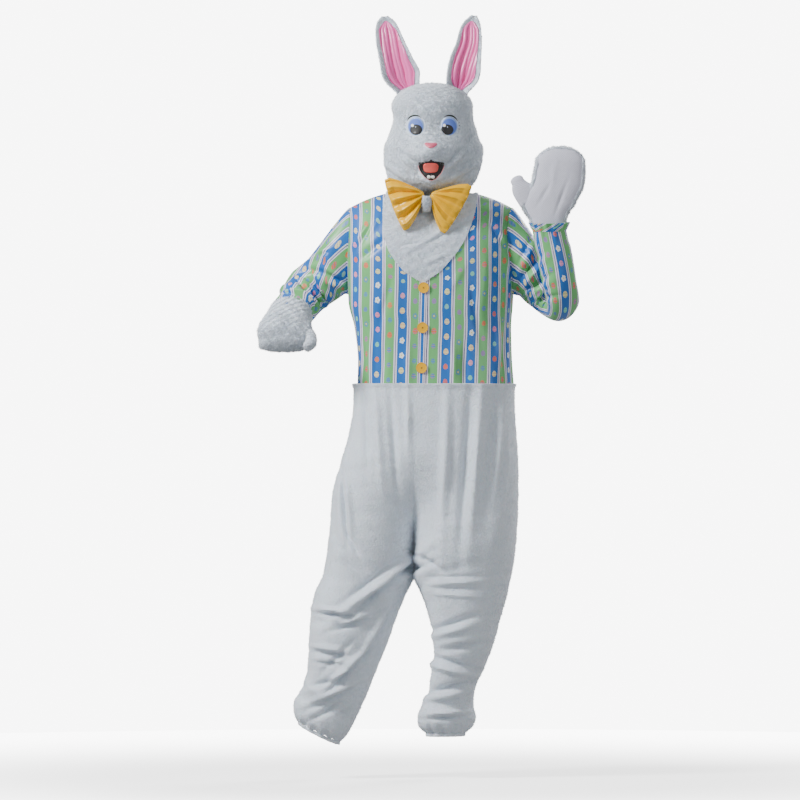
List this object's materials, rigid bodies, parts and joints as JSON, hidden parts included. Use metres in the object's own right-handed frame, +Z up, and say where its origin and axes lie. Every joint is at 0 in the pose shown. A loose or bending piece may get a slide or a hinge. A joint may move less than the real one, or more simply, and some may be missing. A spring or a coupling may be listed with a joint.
{
  "type": "easter bunny costume",
  "caption": "Hollow worn bunny costume in a waving pose: striped satin top, plush trousers, bow tie, mittens and a full-head mask with tall ears.",
  "frame": {"origin": "between the shoulders at the base of the neck, where the wearer carries the costume", "axes": "+Z up along the body, -Y out of the front with the placket and the mask's face, +X to the wearer's left, the side of the raised arm"},
  "size_m": [0.8651, 0.3355, 1.9576],
  "materials": {
    "print_satin": "satin",
    "plush": "matte",
    "mitten_palm": "matte",
    "bow_satin": "satin",
    "ear_satin": "satin",
    "button": "gloss",
    "eye": "gloss",
    "brow": "matte",
    "mouth": "matte",
    "tongue": "matte",
    "tooth": "matte"
  },
  "bodies": {
    "root": {"top_front_left": "print_satin", "top_front_right": "print_satin", "top_back_left": "print_satin", "top_back_right": "print_satin", "button_placket": "print_satin", "sleeve_left": "print_satin", "sleeve_right": "print_satin", "cuff_ruffle_left": "print_satin", "cuff_ruffle_right": "print_satin", "button_1": "button", "button_2": "button", "button_3": "button", "bib": "plush", "trouser_front_left": "plush", "trouser_front_right": "plush", "trouser_back_left": "plush", "trouser_back_right": "plush", "ankle_casing_left": "plush", "ankle_casing_right": "plush", "mask_face": "plush", "mask_back": "plush", "ear_fur_left": "plush", "ear_fur_right": "plush", "ear_satin_left": "ear_satin", "ear_satin_right": "ear_satin", "eye_left": "eye", "eye_right": "eye", "brow_left": "brow", "brow_right": "brow", "nose": "ear_satin", "mouth": "mouth", "tongue": "tongue", "tooth_left": "tooth", "tooth_right": "tooth", "mitten_palm_left": "mitten_palm", "mitten_back_left": "plush", "mitten_thumb_left": "mitten_palm", "mitten_palm_right": "mitten_palm", "mitten_back_right": "plush", "mitten_thumb_right": "plush", "bow_loop_left": "bow_satin", "bow_loop_right": "bow_satin", "bow_knot": "plush"}
  },
  "joints": []
}
